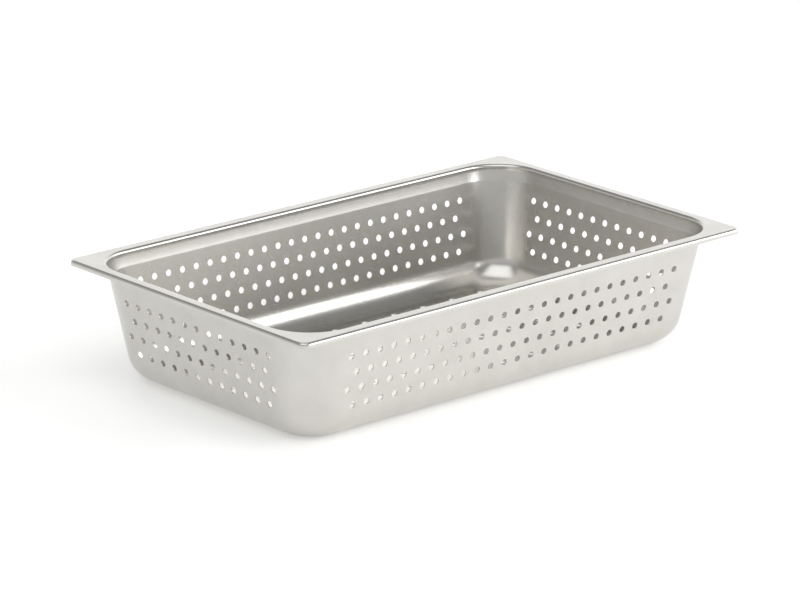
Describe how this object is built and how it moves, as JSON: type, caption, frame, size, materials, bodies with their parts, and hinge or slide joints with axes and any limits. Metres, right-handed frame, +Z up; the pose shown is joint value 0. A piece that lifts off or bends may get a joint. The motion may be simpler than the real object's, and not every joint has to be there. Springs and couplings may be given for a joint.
{
  "type": "cheese mold",
  "caption": "Deep rectangular perforated pan with rounded corners, tapered walls, a stacking shoulder and a flat turned-down rim, for draining and shaping cheese curd.",
  "frame": {"origin": "centre of the flat underside of the floor, where the pan stands", "axes": "+Z up, +X along the pan's long side, +Y along its short side"},
  "size_m": [0.53, 0.325, 0.109],
  "materials": {
    "pan_steel": "satin rolled stainless sheet"
  },
  "bodies": {
    "root": {"perforated_pan": "pan_steel"}
  },
  "joints": []
}
